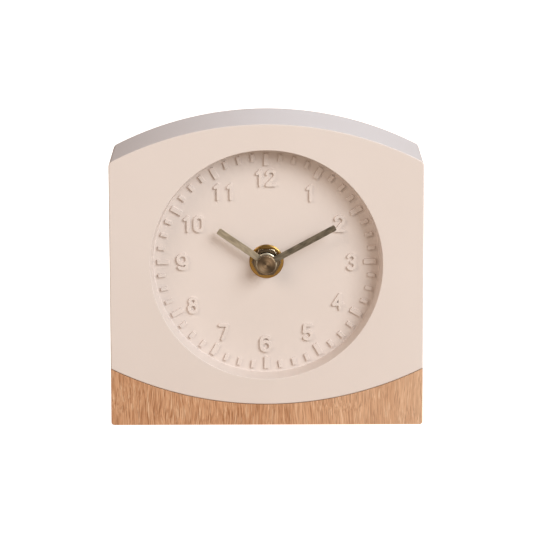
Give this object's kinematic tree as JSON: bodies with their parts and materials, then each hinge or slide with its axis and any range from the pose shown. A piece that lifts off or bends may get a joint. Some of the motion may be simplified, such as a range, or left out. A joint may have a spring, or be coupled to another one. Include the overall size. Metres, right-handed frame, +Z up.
{
  "type": "desk clock",
  "caption": "Analogue desk clock: arched moulded body with a round recessed dial, cradled on a solid wooden base, with a battery quartz movement behind a pocketed rear cover.",
  "frame": {"origin": "centre of the flat underside of the wooden base, on the table", "axes": "+X to the right as the dial is read, +Y from the dial to the rear cover, +Z up"},
  "size_m": [0.126, 0.045, 0.123],
  "materials": {
    "shell_plastic": "fine satin moulding, warm beige",
    "wood": "clear satin oil on straight-grained light wood",
    "cover_plastic": "fine matt moulding",
    "steel": "plated",
    "brass": "turned and polished",
    "hand_brass": "brushed along the hand",
    "cap_brass": "brushed face",
    "rubber": "matt",
    "case_plastic": "fine spark texture",
    "knob_plastic": "fine spark texture",
    "gear_plastic": "moulded natural plastic",
    "magnet": "sintered",
    "iron": "stamped",
    "copper_wire": "enamelled wire",
    "board": "lacquered",
    "resin": "cast",
    "battery_sleeve": "printed sleeve, plain bands only",
    "spring_steel": "nickel plated"
  },
  "bodies": {
    "root": {"front_shell": "shell_plastic", "wood_base": "wood", "base_screws": "steel", "rear_cover": "cover_plastic", "cover_screws": "steel", "washer": "brass", "hex_nut": "brass", "threaded_bushing": "brass", "rubber_washer": "rubber", "movement_front_case": "case_plastic", "movement_back_case": "case_plastic", "middle_plate": "gear_plastic", "stator": "iron", "coil_core": "iron", "coil_bobbin": "gear_plastic", "coil_winding": "copper_wire", "circuit_board": "board", "ic_chip": "resin", "quartz_crystal": "steel", "battery": "battery_sleeve", "contact_positive": "spring_steel", "contact_negative": "spring_steel"},
    "minute_hand_and_arbor": {"minute_arbor": "brass", "minute_hand": "hand_brass", "hand_cap": "cap_brass"},
    "hour_hand_and_wheel": {"hour_wheel": "gear_plastic", "hour_hand": "hand_brass"},
    "minute_wheel": {"minute_wheel": "gear_plastic"},
    "setting_knob": {"setting_knob": "knob_plastic"},
    "centre_wheel": {"centre_wheel": "brass"},
    "third_wheel": {"third_wheel": "gear_plastic"},
    "fourth_wheel": {"fourth_wheel": "gear_plastic"},
    "fifth_wheel": {"fifth_wheel": "gear_plastic"},
    "rotor": {"rotor": "magnet"}
  },
  "joints": [
    {"name": "minute_hand_spin", "type": "hinge", "parent": "root", "child": "minute_hand_and_arbor", "pos_m": [0, 0, 0.0657], "axis": [0, 1, 0], "continuous": true},
    {"name": "hour_hand_spin", "type": "hinge", "parent": "root", "child": "hour_hand_and_wheel", "pos_m": [0, 0, 0.0657], "axis": [0, 1, 0], "continuous": true},
    {"name": "minute_wheel_spin", "type": "hinge", "parent": "root", "child": "minute_wheel", "pos_m": [0.01039, 0, 0.0717], "axis": [0, 1, 0], "continuous": true},
    {"name": "setting_knob_spin", "type": "hinge", "parent": "root", "child": "setting_knob", "pos_m": [0.02079, 0, 0.0777], "axis": [0, 1, 0], "continuous": true},
    {"name": "fifth_wheel_spin", "type": "hinge", "parent": "root", "child": "fifth_wheel", "pos_m": [0.00212, 0, 0.08226], "axis": [0, 1, 0], "continuous": true},
    {"name": "rotor_spin", "type": "hinge", "parent": "root", "child": "rotor", "pos_m": [-0.00625, 0, 0.08153], "axis": [0, 1, 0], "continuous": true},
    {"name": "fourth_wheel_spin", "type": "hinge", "parent": "root", "child": "fourth_wheel", "pos_m": [0.00939, 0, 0.07806], "axis": [0, 1, 0], "continuous": true},
    {"name": "third_wheel_spin", "type": "hinge", "parent": "root", "child": "third_wheel", "pos_m": [0.01015, 0, 0.06939], "axis": [0, 1, 0], "continuous": true},
    {"name": "centre_wheel_spin", "type": "hinge", "parent": "root", "child": "centre_wheel", "pos_m": [0, 0, 0.0657], "axis": [0, 1, 0], "continuous": true}
  ],
  "couplings": [
    {"joint": "minute_wheel_spin", "follows": "minute_hand_spin", "ratio": -0.33333},
    {"joint": "hour_hand_spin", "follows": "minute_hand_spin", "ratio": 0.083333},
    {"joint": "setting_knob_spin", "follows": "minute_hand_spin", "ratio": 1},
    {"joint": "rotor_spin", "follows": "fifth_wheel_spin", "ratio": -6},
    {"joint": "fourth_wheel_spin", "follows": "fifth_wheel_spin", "ratio": -0.16667},
    {"joint": "third_wheel_spin", "follows": "fifth_wheel_spin", "ratio": 0.026667},
    {"joint": "centre_wheel_spin", "follows": "fifth_wheel_spin", "ratio": -0.0033333}
  ]
}
